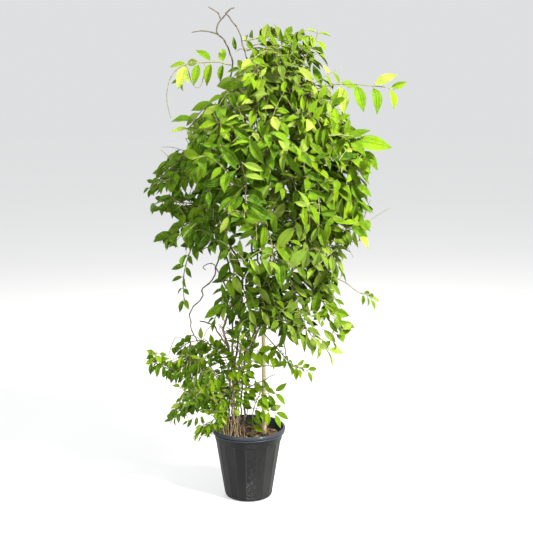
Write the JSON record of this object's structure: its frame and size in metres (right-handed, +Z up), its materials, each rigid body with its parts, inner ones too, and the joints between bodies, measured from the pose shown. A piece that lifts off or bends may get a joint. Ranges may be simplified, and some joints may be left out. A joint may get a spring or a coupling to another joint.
{
  "type": "potted rangoon creeper",
  "caption": "Tall climbing creeper with a dense leafy crown and a low side bush, its woody stems round a bamboo cane, in a dark round nursery pot with flat wall panels.",
  "frame": {"origin": "centre of the pot's underside, on the surface that it stands on", "axes": "+Z up along the plant, -Y to the side that the picture shows, +X to that view's right"},
  "size_m": [0.9359, 0.7343, 1.8133],
  "materials": {
    "pot_plastic": "satin",
    "potting_mix": "rough",
    "bamboo": "satin",
    "bark": "rough",
    "olive_stem": "matte",
    "leaf_bright": "satin",
    "leaf_mid": "satin",
    "leaf_deep": "satin",
    "leaf_pale": "satin"
  },
  "bodies": {
    "root": {"pot": "pot_plastic", "stake": "bamboo", "cane_left": "bark", "cane_front": "bark", "cane_right": "olive_stem", "cane_back": "bark", "cane_back_left": "bark", "cane_side": "bark", "cane_twining": "bark", "runner_right": "leaf_bright", "arch_left": "leaf_bright", "arch_top": "leaf_bright", "shoot_top_right": "leaf_bright", "shoot_right_upper": "leaf_bright", "shoot_right_high": "leaf_bright", "shoot_right_middle": "leaf_bright", "shoot_right_low": "leaf_mid", "shoot_right_hanging": "leaf_pale", "vine_right_low": "leaf_mid", "spray_right_long": "leaf_pale", "spray_right_short": "leaf_bright", "shoot_left_top": "leaf_mid", "shoot_left_upper": "leaf_mid", "spray_left_fine": "leaf_deep", "spray_left_low": "leaf_mid", "shoot_left_low": "leaf_mid", "vine_left_hanging": "leaf_mid", "spray_centre_low": "leaf_bright", "shoot_stake_front": "leaf_bright", "vine_stake_right": "leaf_bright", "bush_top_left": "leaf_bright", "bush_crest": "leaf_mid", "bush_middle": "leaf_bright", "bush_front": "leaf_bright", "bush_low_left": "leaf_mid", "bush_back": "leaf_mid", "sprout_stake": "leaf_bright", "top_centre": "leaf_bright", "front_peak": "leaf_bright", "front_crown": "leaf_bright", "front_top_left": "leaf_mid", "front_top_right": "leaf_bright", "front_upper_left": "leaf_mid", "front_upper": "leaf_mid", "front_upper_right": "leaf_bright", "front_middle_left": "leaf_deep", "front_middle": "leaf_mid", "front_middle_right": "leaf_bright", "front_low_left": "leaf_deep", "front_low": "leaf_mid", "front_low_right": "leaf_pale", "back_peak": "leaf_bright", "back_upper_left": "leaf_mid", "back_upper_right": "leaf_bright", "back_middle_left": "leaf_deep", "back_middle": "leaf_mid", "back_middle_right": "leaf_bright", "back_low_left": "leaf_deep", "back_low_right": "leaf_mid", "soil": "potting_mix"}
  },
  "joints": []
}
